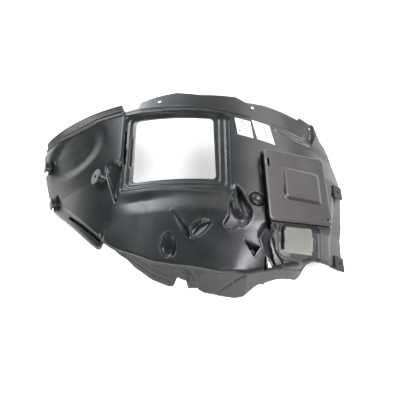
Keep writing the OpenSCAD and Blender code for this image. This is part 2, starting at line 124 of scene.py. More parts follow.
def depthInside(x, y, loop):
    # distance to the loop, positive inside it
    shape = np.shape(x)
    px, py = np.ravel(x).astype(float), np.ravel(y).astype(float)
    out = np.full(px.shape, -60.0)
    low, high = loop.min(0) - 12, loop.max(0) + 12
    near = np.nonzero((px > low[0]) & (px < high[0]) & (py > low[1]) & (py < high[1]))[0]
    if len(near):
        qx, qy = px[near], py[near]
        best = np.full(qx.shape, 1e9)
        inside = np.zeros(qx.shape, bool)
        for a, b in zip(loop, np.roll(loop, -1, 0)):
            d = b - a
            t = np.clip(((qx - a[0]) * d[0] + (qy - a[1]) * d[1]) / max(float(d @ d), 1e-9), 0, 1)
            best = np.minimum(best, np.hypot(qx - a[0] - d[0] * t, qy - a[1] - d[1] * t))
            crosses = (a[1] > qy) != (b[1] > qy)
            rise = d[1] if abs(d[1]) > 1e-9 else 1e-9
            inside ^= crosses & (qx < a[0] + (qy - a[1]) * d[0] / rise)
        out[near] = np.where(inside, best, -best)
    return out.reshape(shape)


def boxIn(x, y, x0, x1, y0, y1, soft):
    acrossX = ease(x0, x0 + soft, x) * ease(-x1, -x1 + soft, -x)
    return acrossX * ease(y0, y0 + soft, y) * ease(-y1, -y1 + soft, -y)


def stripIn(x, y, p, q, widthP, widthQ, flat):
    # 1 along the line from p to q, easing to 0 at its sides
    dx, dy = q[0] - p[0], q[1] - p[1]
    t = np.clip(((x - p[0]) * dx + (y - p[1]) * dy) / (dx * dx + dy * dy), 0, 1)
    far = np.hypot(x - p[0] - dx * t, y - p[1] - dy * t)
    return 1 - ease(flat, 1, far * 2 / mix(widthP, widthQ, t))


def lipIn(d, width=1.5):
    # the low rolled lip just outside an edge
    return ease(-3 - width, -width, d) * (1 - ease(-1, 0.6, d))


# The liner's outlines: each table is read by the place along the arch and gives a place across it or
# the front wall's depth, and the two end tables are read the other way round.
plan = {
    "wingEdge": [(-341, 184), (-152, 184), (-146, 181), (-118, 185), (-112, 200), (-79, 210), (-36, 218),
                 (16, 212), (94, 216), (116, 205), (156, 209), (239, 205), (245, 215), (268, 213), (280, 210),
                 (289, 187), (296, 166), (304, 157), (311, 139), (322, 112), (326, 96)],
    "flangeInner": [(-341, 176), (-152, 176), (-113, 180), (-36, 178), (16, 176), (94, 167), (156, 158),
                    (231, 151), (262, 151), (277, 176), (289, 184), (296, 163), (304, 154), (311, 136),
                    (322, 109), (326, 93)],
    "crownStart": [(-341, 158), (-152, 158), (16, 156), (94, 151), (165, 147), (182, 130), (231, 122),
                   (262, 126), (277, 160), (289, 180), (296, 159), (304, 150), (311, 132), (322, 105),
                   (326, 89)],
    "ridgeEdge": [(-341, 3), (-307, -35), (-254, -89), (-205, -138), (-184, -156), (-176, -158), (-169, -148),
                  (-134, -177), (-73, -208), (-28, -219), (51, -233), (100, -227), (128, -214), (163, -200),
                  (204, -184), (225, -171), (247, -160), (285, -153), (326, -144)],
    "wallReach": [(-341, 8), (-140, 8), (-131, 15), (-119, 31), (-106, 52), (-80, 73), (-59, 84), (-42, 93),
                  (-34, 88), (-25.5, 50), (-7.5, 60), (-6.5, 96), (14, 89), (23.5, 97.6), (46, 95.8),
                  (69, 105), (83, 110.8), (98, 102.5), (110, 84), (121, 68), (140, 60), (160, 55), (190, 66),
                  (207, 73.5), (217.6, 56.4), (225, 13), (240, 8), (326, 8)],
    "leftEnd": [(3, -304), (29, -313), (60, -322), (112, -335.8), (146, -340.3), (184, -336.5)],
    "rightEnd": [(-150, 303), (-126, 306), (-73, 309), (-43, 315), (16, 321.5), (59, 325), (86, 320.5),
                 (118, 317), (136, 319), (156, 318), (185, 315), (215, 318)],
    "leftZone": -154,
    "rightZone": 186,
    "flangeDrop": 12.0,
    "dropFrom": (0, 50),
    "dropEnd": (268, 288),
    "rimEnd": (-151, -146.5),
    "wallLimit": (0.75, 3),
}
xFirst, xLast = arch["midX"] - arch["halfSpan"], arch["midX"] + arch["halfSpan"]


def placeX(s, y):
    # both end zones are stretched to meet the outline's ends
    zoneA, zoneB = plan["leftZone"], plan["rightZone"]
    left = mix(zoneA, lookup(y, plan["leftEnd"]), (zoneA - s) / (zoneA - xFirst))
    right = mix(zoneB, lookup(y, plan["rightEnd"]), (s - zoneB) / (xLast - zoneB))
    return np.where(s < zoneA, left, np.where(s > zoneB, right, s))


# Openings cut through the sheet, as corner lists or as middles and radii.
windows = {
    "bigCorners": [(-117.5, -21), (47.5, -18), (43.5, 141), (-119.5, 143)],
    "bigRadius": 8,
    "smallMid": (206, -130),
    "smallCorners": [(-32, -36), (27, -22), (34, 39), (-25, 21)],
    "smallRadius": 4,
    "smallBulge": [(230, -141), (237, -141), (241, -108), (231, -108)],
    "smallBulgeRadius": 1.5,
    "earNotches": [[(-345, 125), (-327, 125), (-323, 94), (-345, 91)],
                   [(-322, 23), (-303, 23), (-299, -3), (-322, -7)]],
    "notchRadius": 3,
    "sliver": [(143.2, -185.7), (140.1, -191.7), (137.9, -204.3), (148.8, -201.8), (147.7, -198.7)],
    "tabHoles": [(314, 38, 3.3), (296, -138, 3.3)],
    "pins": [(-162, 74, 2.0), (100, 81, 2.0), (244, -134, 2.0)],
    "flangeHoles": [(-72, 196, 4.25), (131, 194, 4.25), (266, 199, 3.0)],
}
smallX, smallY = windows["smallMid"]
openings = [
    roundedLoop(windows["bigCorners"], windows["bigRadius"]),
    roundedLoop([(smallX + a, smallY + b) for a, b in windows["smallCorners"]], windows["smallRadius"]),
    roundedLoop(windows["smallBulge"], windows["smallBulgeRadius"], 3),
    np.array(windows["sliver"], float),
]
openings += [roundedLoop(loop, windows["notchRadius"], 3) for loop in windows["earNotches"]]
for kind, sides in (("pins", 12), ("flangeHoles", 24), ("tabHoles", 20)):
    openings += [circleLoop((x, y), r, sides) for x, y, r in windows[kind]]

cover = {
    "midX": 214.7,
    "midY": -6.3,
    "aboveArch": 2.8,
    "leanOver": 3.5,
    "rise": 0.262,
    "lean": 0.022,
    "thick": 2.5,
    "gap": 0.2,
    "width": 164,
    "length": 170,
    "corner": 9,
    "panel": [(-37.6, -42.3), (59.9, -22.2), (60, 56.5), (-40.3, 36.2)],
    "panelTop": [(-36.6, -37.4), (52.9, -17.6), (54, 49.2), (-32.8, 31.3)],
    "panelHeight": 3,
    "slots": [((-75, 33.5), (7, 22)), ((76, -53), (13, 8))],
    "access": (96, 86.4),
    "accessCorner": 6,
    "panelCorner": 8,
    "topCorner": 6,
    "slotCorner": 3,
    "gridStep": 2.2,
    "gridMargin": (5, 3),
    "snap": 0.35,
    "edgeFall": 0.9,
    "edgeRound": 2.4,
    "edgeThin": 0.3,
    "seatEdges": [(-1, 3), (-1, 3), (-14, -4), (-1, 4)],
    "underEdges": [(-4, -1), (-4, -1), (-5, -2)],
}
cover["tilt"] = archTilt(cover["midX"]) + math.radians(cover["leanOver"])
cover["mid"] = (cover["midX"], cover["midY"], float(archZ(cover["midX"])) + cover["aboveArch"])
cover["planRise"] = cover["rise"] / math.cos(cover["tilt"])


def coverCorners(w, l):
    # corners of a leaning box on the cover's plane
    up, side = cover["rise"] * w / 2, cover["lean"] * l / 2
    return [(-w / 2 + side, -l / 2 - up), (w / 2 + side, -l / 2 + up),
            (w / 2 - side, l / 2 + up), (-w / 2 - side, l / 2 - up)]


openings.append(roundedLoop([(cover["midX"] + u * math.cos(cover["tilt"]), cover["midY"] + v)
                             for u, v in coverCorners(*cover["access"])], cover["accessCorner"]))


def openDistance(x, y):
    # positive on the sheet, negative in an opening
    far = np.full(np.shape(x), 60.0)
    for loop in openings:
        far = np.minimum(far, -depthInside(x, y, loop))
    return far


# Pockets pressed into the face: depth, width of the wall, and a shallower end where "lean" is given.
pockets = [
    {"name": "wedgeTrough", "deep": 6.5, "wall": 2.4, "lean": ((-30, -136), (-8, -132), 0.08), "lip": 0.5,
     "loop": smoothLoop([(-37.5, -102), (-28.6, -109), (-21, -117.5), (-12.5, -129.7), (-5.5, -143.6),
                         (-2.2, -157), (-3.9, -167), (-11.2, -156), (-20.6, -140.8), (-30.2, -120.7)])},
    {"name": "lowOval", "deep": 11, "wall": 11, "round": True, "lean": ((-39, -152), (-42, -178), 0.2),
     "lip": 0.5,
     "loop": smoothLoop([(-41.3, -151), (-33, -157), (-27.6, -169), (-26.5, -183), (-29.4, -195.4),
                         (-37.3, -201.5), (-47.1, -200), (-55, -189.2), (-56, -175.5), (-52.9, -161.7),
                         (-47.6, -154)])},
    {"name": "highOval", "deep": 11, "wall": 8, "round": True, "lean": ((32, -152), (9, -137), 0.1),
     "lip": 0.5,
     "loop": smoothLoop([(-1.6, -160), (-2.9, -149.4), (-0.5, -140), (5.9, -130.7), (14.2, -125),
                         (23.4, -122), (31.7, -122), (36.8, -127), (35.1, -135), (28.8, -145.6),
                         (19.6, -155.5), (8.8, -163.5), (1.5, -165)])},
    {"name": "threeCorner", "deep": 16, "wall": 4.5, "linear": True, "lip": 0.3,
     "loop": roundedLoop([(94.5, -159.4), (127.5, -166.6), (114, -191)], 1.5, 3)},
    {"name": "blade", "deep": 12, "wall": 2.2, "lean": ((160, -142), (126, -158), 0.02),
     "loop": smoothLoop([(162.9, -96.4), (140.3, -110.9), (129.7, -125.8), (122.8, -140.4), (125.1, -156.2),
                         (133, -170.2), (139.8, -181.2), (147.3, -190.2), (155.4, -199.9), (152.6, -187.2),
                         (150.4, -170.6), (146.5, -151.5), (149.2, -139), (159.6, -116.4)])},
    {"name": "bladeSlot", "deep": 8, "wall": 1.6,
     "loop": roundedLoop([(131.5, -210), (137.1, -209), (137.6, -183.7), (134, -183.5)], 1, 3)},
    {"name": "cornerFold", "deep": 5, "wall": 7, "linear": True,
     "loop": roundedLoop([(245, 150), (246, 165), (261, 175), (274, 161)], 2, 3)},
    {"name": "groove", "deep": 15, "wall": 6, "lean": ((-171, 0), (-148, -4), 0.2),
     "loop": smoothLoop([(-176, 37), (-159, 40), (-143, 36), (-139.5, 22), (-142, -16), (-143.5, -50),
                         (-147, -68), (-152, -58), (-164, -22), (-176.5, 20)])},
    {"name": "earSlotHigh", "deep": 7, "wall": 3,
     "loop": roundedLoop([(-319, 120), (-309, 121), (-306, 88), (-316, 86)], 4, 3)},
    {"name": "earSlotLow", "deep": 7, "wall": 3,
     "loop": roundedLoop([(-294, 24), (-285, 24), (-279, -8), (-288, -8)], 4, 3)},
]
beak = {
    "wall": 3.0,
    "loop": smoothLoop([(83, -33), (77.5, -46.6), (76.1, -60.7), (71.8, -74.3), (69.8, -93.1), (68.3, -107.4),
                        (64.3, -118.1), (59.5, -128), (60.5, -135.5), (65.6, -140.5), (72.1, -141.4),
                        (79.7, -138.4), (88.4, -131.9), (96.9, -131.2), (104.8, -125.2), (111.7, -112.6),
                        (115.7, -98.4), (115.3, -85.9), (110.7, -75.2), (105.5, -64.5), (101.1, -52.4),
                        (96.6, -43.7), (90, -35.5)]),
    "crest": [(-141, 96), (-98.4, 91), (-64.5, 84.5), (-41, 82.3), (-30, 82)],
    "section": [(-26, 5), (-17, 9), (-14, 9), (-6, 4), (3, 1), (7, 16), (10.5, 15.5), (27, 5.5)],
    "crestEnd": (-114, -90),
    "bowl": (7.5, 12),
    "bowlSides": (62, 88),
    "bowlEnd": (-118, -140),
    "bowlLess": 0.45,
    "lip": 0.5,
}


def pocketDrop(x, y):
    drop = np.zeros(np.shape(x))
    for p in pockets:
        d = depthInside(x, y, p["loop"])
        if p.get("round"):
            q = np.clip(d / p["wall"], 0, 1)
            depth = np.sqrt(np.maximum(1 - (1 - q) ** 2, 0)) * ease(-0.5, 2.5, d)
        elif p.get("linear"):
            depth = np.clip(d / p["wall"], 0, 1)
        else:
            depth = ease(0, p["wall"], d)
        if "lean" in p:
            (ax, ay), (bx, by), shallow = p["lean"]
            dx, dy = bx - ax, by - ay
            q = ((x - ax) * dx + (y - ay) * dy) / (dx * dx + dy * dy)
            depth = depth * mix(shallow, 1, np.clip(q, 0, 1))
        drop = drop + p["deep"] * depth - p.get("lip", 0) * lipIn(d)
    return drop


def beakDrop(x, y):
    # a bowl at the front, split by a crest towards the back
    d = depthInside(x, y, beak["loop"])
    split = curve(x - lookup(y, beak["crest"]), beak["section"])
    bowl = mix(*beak["bowl"], ease(*beak["bowlSides"], x))
    bowl = bowl * (1 - beak["bowlLess"] * ease(*beak["bowlEnd"], y))
    return mix(bowl, split, ease(*beak["crestEnd"], y)) * ease(0, beak["wall"], d) - beak["lip"] * lipIn(d)


frameBox = {
    "outer": roundedLoop([(-143, -44), (71, -44), (71, 157), (-143, 157)], 16),
    "inner": roundedLoop([(-131, -31), (58, -31), (58, 150), (-131, 150)], 12),
    "outerDeep": 3.5,
    "outerWall": 7,
    "innerDeep": 3.0,
    "innerWall": 5,
    "ledge": (-147, 79, 0, 203, 5),
    "ledgeDeep": 2.0,
    "ledgeY": [(-147, -43), (-81, -46), (-32, -50.5), (16, -54), (56, -54), (66, -60), (79, -62)],
    "slits": [((-139.5, 122), (-137, 30), 4.5, 11), ((-127, 118), (-125.5, 22), 3.5, 8)],
}
smallFrame = {
    "loop": roundedLoop([(164, -82), (158.5, -178), (246, -178), (256, -80)], 12, 4),
    "deep": 4,
    "wall": 3.5,
    "lip": 0.6,
    "shallow": ((215, 245), 0.45),
    "slot": ((176, -92), (170.5, -156), 7, 6),
}
dish = {"mid": (-255, 112), "size": 150, "deep": 8, "flat": 0.55}
dome = {"mid": (127, -60), "radius": 13.5, "height": 9, "ring": 3.5, "ringEdge": (14.5, 18), "collar": 0.8,
        "collarAt": (16.5, 18.5, 22)}
nose = {
    "rim": [(-213, 134), (-197, 130.7), (-175, 131), (-140, 122.8), (-111, 140), (-55, 141)],
    "crease": [(-226, 80), (-199, 83), (-163, 91), (-133.6, 97)],
    "slope": 0.1 / 36,
    "slopeReach": 50,
    "slopeFront": (-112, -135),
    "frontFall": 5.5,
    "frontReach": 50,
    "frontSides": (75, 110, 190, 225),
    "fold": [(-187.3, 169.4), (-168.6, 157.3), (-135.3, 151.8), (-100.6, 164)],
    "bellyCrease": [(-179, 3.4), (-149.4, -4), (-107.4, -17.8), (-50.5, -33)],
    "bellySlope": 0.07,
    "bellyReach": 60,
    "bellyBack": (-50, -75),
    "bellyLeft": (-150, -100),
    "bellyRise": 5.9,
    "riseBack": (-55, -105),
    "riseLeft": (-150, -90),
    "foldStep": 3,
    "foldBack": (-90, -110),
    "coverGroove": ((141.5, 62), (147.5, -115), 5, 11, 7),
    "ribs": [((168, 151), (239, 147), 12, 1.8), ((176, 137), (239, 134), 12, 1.8)],
}


def windowDrop(x, y):
    # two steps down to the big window, with slits beside it and a ledge round it
    f = frameBox
    drop = f["outerDeep"] * ease(0, f["outerWall"], depthInside(x, y, f["outer"]))
    drop = drop + f["innerDeep"] * ease(0, f["innerWall"], depthInside(x, y, f["inner"]))
    for p, q, wide, deep in f["slits"]:
        drop = np.maximum(drop, deep * stripIn(x, y, p, q, wide, wide, 0.2))
    return drop + f["ledgeDeep"] * boxIn(x, y - lookup(x, f["ledgeY"]), *f["ledge"])


def smallDrop(x, y):
    d = depthInside(x, y, smallFrame["loop"])
    (a, b), share = smallFrame["shallow"]
    deep = smallFrame["deep"] * mix(1, share, ease(a, b, x))
    p, q, wide, slotDeep = smallFrame["slot"]
    deep = deep + slotDeep * stripIn(x, y, p, q, wide, wide, 0.2)
    return deep * ease(0, smallFrame["wall"], d) - smallFrame["lip"] * lipIn(d, 2)


def domeRise(x, y):
    r = np.hypot(x - dome["mid"][0], y - dome["mid"][1])
    ball = (dome["height"] + dome["ring"]) * np.sqrt(np.maximum(1 - (r / dome["radius"]) ** 2, 0))
    inner, top, outer = dome["collarAt"]
    collar = dome["collar"] * ease(outer, top, r) * ease(inner, top, r)
    return ball - dome["ring"] * (1 - ease(*dome["ringEdge"], r)) + collar


def noseFront(x):
    a, b, c, d = nose["frontSides"]
    return nose["frontFall"] * ease(a, b, x) * (1 - ease(c, d, x))


def swell(x, y):
    # the belly's bulge, the nose falling to the front, and the forms between nose and cover
    beyond = ease(-1, 6, x - lookup(y, nose["rim"]))
    belly = nose["bellyRise"] * ease(*nose["riseBack"], y) * ease(*nose["riseLeft"], x) * (1 - beyond)
    past = np.clip(x - lookup(y, nose["crease"]), 0, nose["slopeReach"])
    fall = nose["slope"] * past * past * ease(*nose["slopeFront"], y) * (1 - beyond)
    reach = nose["frontReach"]
    front = np.clip(lookup(x, plan["ridgeEdge"]) + reach - y, 0, reach) / reach
    fall = fall + front * front * noseFront(x)
    left = nose["bellySlope"] * np.clip(lookup(y, nose["bellyCrease"]) - x, 0, nose["bellyReach"])
    left = left * ease(*nose["bellyBack"], y) * ease(*nose["bellyLeft"], x)
    low = nose["foldStep"] * beyond * ease(-1.5, 3, lookup(y, nose["fold"]) - x) * ease(*nose["foldBack"], y)
    p, q, widthP, widthQ, deep = nose["coverGroove"]
    groove = deep * stripIn(x, y, p, q, widthP, widthQ, 0.25)
    ribs = np.max([high * stripIn(x, y, p, q, wide, wide, 0.1) for p, q, wide, high in nose["ribs"]], 0)
    return belly - fall - left - low - groove + ribs + domeRise(x, y)


edges = {
    "stripDrop": 5,
    "stripWide": (22, 28),
    "stripEnds": (-336, -330, -173, -167),
    "endDrop": 2,
    "endFold": -329,
    "tabDrop": 4,
    "tabWall": 7,
    "tabCrease": (299, 286),
    "tabSpan": (0, -140),
    "tabBack": (24, 34),
    "cornerGroove": ((-248, -56), (-173, -143), 6.5, 9),
}


def edgeDrop(y, s):
    # the stepped strip at the lower left, the left end's fold and the step under the right tabs
    e = edges
    strip = e["stripDrop"] * (1 - ease(*e["stripWide"], y - lookup(s, plan["ridgeEdge"])))
    a, b, c, d = e["stripEnds"]
    strip = strip * ease(a, b, s) * (1 - ease(c, d, s))
    end = e["endDrop"] * (1 - ease(xFirst, e["endFold"], s))
    crease = mix(*e["tabCrease"], ease(*e["tabSpan"], y))
    return strip + end + e["tabDrop"] * ease(0, e["tabWall"], s - crease) * (1 - ease(*e["tabBack"], y))


def seatZ(x):
    # height of the seat just under the cover
    clear = (cover["thick"] + cover["gap"]) / math.cos(cover["tilt"])
    return cover["mid"][2] - (x - cover["mid"][0]) * math.tan(cover["tilt"]) - clear


def coverPlace(x, y):
    # distances inside the cover's left, right, lower and upper edge in plan
    halfW, halfL = cover["width"] * math.cos(cover["tilt"]) / 2, cover["length"] / 2
    dy = y - cover["midY"]
    dx = x - cover["midX"] + cover["lean"] * dy
    dy = dy - dx * cover["planRise"]
    return dx + halfW, halfW - dx, dy + halfL, halfL - dy


def faceZ(x, y, s):
    base = archZ(s) + swell(x, y) - pocketDrop(x, y) - beakDrop(x, y) - windowDrop(x, y)
    far = np.hypot(x - dish["mid"][0], y - dish["mid"][1]) * 2 / dish["size"]
    base = base - edgeDrop(y, s) - dish["deep"] * (1 - ease(dish["flat"], 1, far))
    p, q, wide, deep = edges["cornerGroove"]
    base = base - deep * stripIn(x, y, p, q, wide, wide, 0.25)
    inside = coverPlace(x, y)
    seat = np.prod([ease(a, b, d) for (a, b), d in zip(cover["seatEdges"], inside)], 0)
    under = np.prod([ease(a, b, d) for (a, b), d in zip(cover["underEdges"], inside)], 0)
    return mix(base, seatZ(x), seat) - smallDrop(x, y) * (1 - under)


def spread(stops):
    # places between stops, each stop with the step that follows it
    out = []
    for (a, step), (b, _) in zip(stops, stops[1:]):
        n = max(1, round(abs(b - a) / step))
        out += [a + (b - a) * k / n for k in range(n)]
    return np.array(out + [stops[-1][0]], float)


gridSteps = {
    "along": [(xFirst, 3.1), (-180, 2.1), (-124, 3.0), (-60, 1.8), (60, 1.6), (165, 2.3), (186, 3.0),
              (284, 1.9), (306, 3.2), (xLast, 1)],
    "across": [(155, 1.8), (148, 4.3), (-26, 1.8), (-51, 1)],
    "lipRows": 10,
    "beadRows": 16,
    "frontRows": 66,
    "ridgeRows": 5,
    "ridgeRound": 7.0,
    "wallRows": 24,
    "wallCrowd": 1.25,
    "frontShare": 0.3,
    "snap": 0.585,
}
wall = {
    "setBack": 3.2,
    "setFrom": (7.5, 11),
    "formFrom": (14, 30),
    "grooves": [((103.5, 4.6), (76.2, 44.4), 6, 3), ((76.2, 44.4), (48.3, 84.2), 6, 3),
                ((133.4, 2.8), (218.4, 32.4), 5, 1.5), ((-36, 72), (-73, 52), 5, 1.5),
                ((-11.6, 15), (-0.3, 34.6), 5, 2.5), ((-0.3, 34.6), (7.7, 61), 5, 2.5),
                ((7.7, 61), (14.1, 84), 5, 2.5), ((-126, 13), (-64, 60), 7, 1.6),
                ((-104, 14), (-44, 46), 9, 1.8), ((-84, 14), (-76, 34), 5, 1.2)],
    "panel": roundedLoop([(-19.9, 22.3), (-3.8, 31.9), (-6.6, 60.2), (-24.3, 50.3)], 2, 3),
    "tab": roundedLoop([(-7.5, 40), (-8, 98), (15, 95), (8, 63)], 2, 3),
    "fold": roundedLoop([(0, 9), (26, 9), (14, 41)], 1.5, 3),
    "panelOut": (2.2, 2),
    "tabIn": (3.5, 2.5),
    "foldIn": (2.5, 6),
}


def wallIn(x, h):
    # how far the front wall stands behind its ridge, by depth below the ridge
    back = wall["setBack"] * ease(*wall["setFrom"], h)
    for p, q, wide, deep in wall["grooves"]:
        back = back + deep * stripIn(x, h, p, q, wide, wide, 0.2)
    deep, wide = wall["panelOut"]
    back = back - deep * ease(0, wide, depthInside(x, h, wall["panel"]))
    deep, wide = wall["tabIn"]
    back = back + deep * ease(0, wide, depthInside(x, h, wall["tab"]))
    deep, wide = wall["foldIn"]
    return back + deep * np.clip(depthInside(x, h, wall["fold"]) / wide, 0, 1)


# The left rim's height over the crown, along its outer and inner half, and the flange's rise to the crown.
rimSection = {
    "lip": [(0, 7.5), (0.12, 9.2), (0.31, 9.5), (0.44, 8.6), (1, 3.4)],
    "bead": [(0, 3.4), (0.14, 0.4), (0.22, -1), (0.28, -0.6), (0.39, 2.6), (0.5, 2.8), (0.58, 1.5),
             (0.67, -2), (0.75, -2.2), (1, 0)],
    "flange": [(0, 1), (0.45, 0.55), (1, 0)],
}


def sheetGrid():
    # rows of points from the wing edge over the crown and down the front wall
    s1 = spread(gridSteps["along"])
    edge, inner = lookup(s1, plan["wingEdge"]), lookup(s1, plan["flangeInner"])
    start, ridge = lookup(s1, plan["crownStart"]), lookup(s1, plan["ridgeEdge"])
    across = spread(gridSteps["across"])
    midEnd = np.maximum(across[-1], mix(ridge, start, gridSteps["frontShare"]))
    rim = 1 - ease(*plan["rimEnd"], s1)
    drop = plan["flangeDrop"] * ease(*plan["dropFrom"], archZ(s1)) * (1 - ease(*plan["dropEnd"], s1))
    share, least = plan["wallLimit"]
    reach = np.minimum(lookup(s1, plan["wallReach"]), archZ(s1) * share + least)
    rows = []
    for t in np.linspace(0, 1, gridSteps["lipRows"] + 1):
        rows.append((mix(edge, inner, t), mix(-drop, lookup(t, rimSection["lip"]), rim)))
    for t in np.linspace(0, 1, gridSteps["beadRows"] + 1)[1:]:
        fall = lookup(t, rimSection["flange"])
        rows.append((mix(inner, start + 1, t), mix(-drop * fall, lookup(t, rimSection["bead"]), rim)))
    for share in (across - across[-1]) / (across[0] - across[-1]):
        rows.append((mix(midEnd, start - 1, share), 0 * s1))
    r = gridSteps["ridgeRound"]
    for t in np.linspace(0, 1, gridSteps["frontRows"] + 1)[1:]:
        rows.append((mix(midEnd, ridge + r, t), 0 * s1))
    for t in np.linspace(0, math.pi / 2, gridSteps["ridgeRows"] + 1)[1:]:
        small = np.minimum(r, reach / 2)
        rows.append((ridge + r * (1 - math.sin(t)), -small * (1 - math.cos(t))))
    for t in np.linspace(0, 1, gridSteps["wallRows"] + 1)[1:]:
        h = mix(np.minimum(r, reach / 2), reach, t ** gridSteps["wallCrowd"])
        rows.append((ridge + wallIn(s1, h) * ease(*wall["formFrom"], reach), noseFront(s1) * t - h))
    y = np.stack([q[0] for q in rows], 1)
    lift = np.stack([q[1] for q in rows], 1)
    s = np.repeat(s1[:, None], y.shape[1], 1)
    return s, y, lift


def snapMove(distance, x, y, reach):
    # how far points close to an edge go to lie on it, so that the cut has no slivers
    d = distance(x, y)
    e = 0.05
    gx = (distance(x + e, y) - distance(x - e, y)) / (2 * e)
    gy = (distance(x, y + e) - distance(x, y - e)) / (2 * e)
    near = np.abs(d) < reach
    return np.where(near, d * gx, 0.0), np.where(near, d * gy, 0.0), np.where(near, 0.0, d)


def cutSheet(points, count, keep):
    # quads of a grid of points with the part where keep is negative cut away
    nCols, nRows = count
    verts = list(map(tuple, points))
    faces, made = [], {}

    def between(a, b):
        key = (min(a, b), max(a, b))
        if key not in made:
            t = keep[a] / (keep[a] - keep[b])
            made[key] = len(verts)
            verts.append(tuple(points[a] + (points[b] - points[a]) * t))
        return made[key]

    for i in range(nCols - 1):
        for j in range(nRows - 1):
            quad = [i * nRows + j, (i + 1) * nRows + j, (i + 1) * nRows + j + 1, i * nRows + j + 1]
            side = [keep[q] for q in quad]
            if max(side) <= 0:
                continue
            if min(side) >= 0:
                faces.append(quad[::-1])
                continue
            poly = []
            for a, b in zip(quad, quad[1:] + quad[:1]):
                if keep[a] >= 0:
                    poly.append(a)
                if keep[a] * keep[b] < 0:
                    poly.append(between(a, b))
            if len(poly) > 2:
                faces.append(poly[::-1])
    used = sorted({v for f in faces for v in f})
    renamed = {v: k for k, v in enumerate(used)}
    return np.array([verts[v] for v in used]), [[renamed[v] for v in f] for f in faces]


def pointNormals(verts, faces):
    normals = np.zeros(verts.shape)
    for f in faces:
        p = verts[f]
        n = np.zeros(3)
        for a in range(1, len(f) - 1):
            n += np.cross(p[a] - p[0], p[a + 1] - p[0])
        for v in f:
            normals[v] += n
    return normals / np.maximum(np.linalg.norm(normals, axis=1), 1e-9)[:, None]


def thicken(verts, faces, wall):
    # a second skin under the first, closed along every free edge
    n = len(verts)
    under = verts - pointNormals(verts, faces) * wall
    seen = dict.fromkeys((a, b) for f in faces for a, b in zip(f, f[1:] + f[:1]))
    sides = [[b, a, a + n, b + n] for a, b in seen if (b, a) not in seen]
    shell = [list(f) for f in faces] + [[v + n for v in f[::-1]] for f in faces] + sides
    return np.concatenate([verts, under]), shell


def meshObject(name, verts, faces, sharpAngle=42):
    mesh = bpy.data.meshes.new(name)
    mesh.from_pydata([tuple(v) for v in toFrame(verts)], [], faces)
    mesh.polygons.foreach_set("use_smooth", [True] * len(mesh.polygons))
    mesh.validate()
    mesh.update()
    mesh.set_sharp_from_angle(angle=math.radians(sharpAngle))
    obj = bpy.data.objects.new(name, mesh)
    bpy.context.scene.collection.objects.link(obj)
    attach(obj, "root")
    return obj


s, y, lift = sheetGrid()
x = placeX(s, y)
gridShape = x.shape
moveX, moveY, keep = snapMove(openDistance, x, y, gridSteps["snap"])
x, y, s = x - moveX, y - moveY, s - moveX
sheetPoints = np.stack([x, y, faceZ(x, y, s) + lift], 2).reshape(-1, 3)
sheetVerts, sheetFaces = cutSheet(sheetPoints, gridShape, keep.ravel())
shellVerts, shellFaces = thicken(sheetVerts, sheetFaces, arch["wall"])
print("liner sheet", gridShape, len(shellFaces), "faces")


# Fixings moulded on: spot, tilt and turn of each ear and tab, and the screw seat on its neck.
fixings = {
    "ears": [((-331.5, 109, 14), -70, 4), ((-306, 9, 14), -70, 12)],
    "tabs": [((314, 38, 15), 37, 0), ((296, -138, 14), 37, 0)],
    "earRadius": 14,
    "earDepth": 12,
    "tabSize": (26, 32),
    "tabCorner": 3,
    "thick": 3,
    "bore": 3.5,
    "bossSpot": (-194, 1, 122),
    "bossTurn": -52,
    "bossPad": 17,
    "bossNeck": 10,
    "bossHeight": 16,
    "bossFoot": 8,
}


def turned(points, spot, tilt, turn=0):
    # tilted round y, then turned round z, both in degrees, and set down at the spot
    p = np.asarray(points, float)
    a, b = math.radians(tilt), math.radians(turn)
    px, pz = p[:, 0] * math.cos(a) + p[:, 2] * math.sin(a), -p[:, 0] * math.sin(a) + p[:, 2] * math.cos(a)
    px, py = px * math.cos(b) - p[:, 1] * math.sin(b), px * math.sin(b) + p[:, 1] * math.cos(b)
    return np.stack([px, py, pz], 1) + np.array(spot, float)


def ringAt(loop, height, grow=1.0):
    return np.column_stack([loop * grow, np.full(len(loop), height)])


def loftRings(rings):
    # rings of equal count joined one after another, and the last to the first
    count, total, faces = len(rings[0]), len(rings), []
    for i in range(total):
        j = (i + 1) % total
        for k in range(count):
            m = (k + 1) % count
            faces.append([i * count + k, i * count + m, j * count + m, j * count + k])
    return np.concatenate(rings), faces


def latheRings(profile, count=40):
    # closed turned piece from (radius, height) pairs, listed once round the section
    return loftRings([ringAt(circleLoop((0, 0), r, count), height) for r, height in profile])


def boxLoop(mid, size, radius, steps):
    # a box in plan with rounded corners
    (a, b), (w, l) = mid, size
    corners = [(a - w / 2, b - l / 2), (a + w / 2, b - l / 2), (a + w / 2, b + l / 2), (a - w / 2, b + l / 2)]
    return roundedLoop(corners, radius, steps)


added = []
ear, thick, bore, deep = fixings["earRadius"], fixings["thick"], fixings["bore"], fixings["earDepth"]
earVerts, earFaces = latheRings([(bore, -0.6), (bore + 0.6, 0), (ear - 0.8, 0), (ear, -0.8), (ear, -thick),
                                 (ear - 4, -thick), (ear - 4, -deep), (bore, -deep)])
added += [(turned(earVerts, *place), earFaces) for place in fixings["ears"]]

tabEdge = boxLoop((0, 0), fixings["tabSize"], fixings["tabCorner"], 9)
around = np.arctan2(tabEdge[:, 1], tabEdge[:, 0])
boreEdge = np.stack([bore * np.cos(around), bore * np.sin(around)], 1)
tabVerts, tabFaces = loftRings([ringAt(boreEdge, -thick / 2), ringAt(boreEdge, thick / 2),
                                ringAt(tabEdge, thick / 2, 0.97), ringAt(tabEdge, thick / 2 - 0.9),
                                ringAt(tabEdge, -thick / 2)])
added += [(turned(tabVerts, *place), tabFaces) for place in fixings["tabs"]]

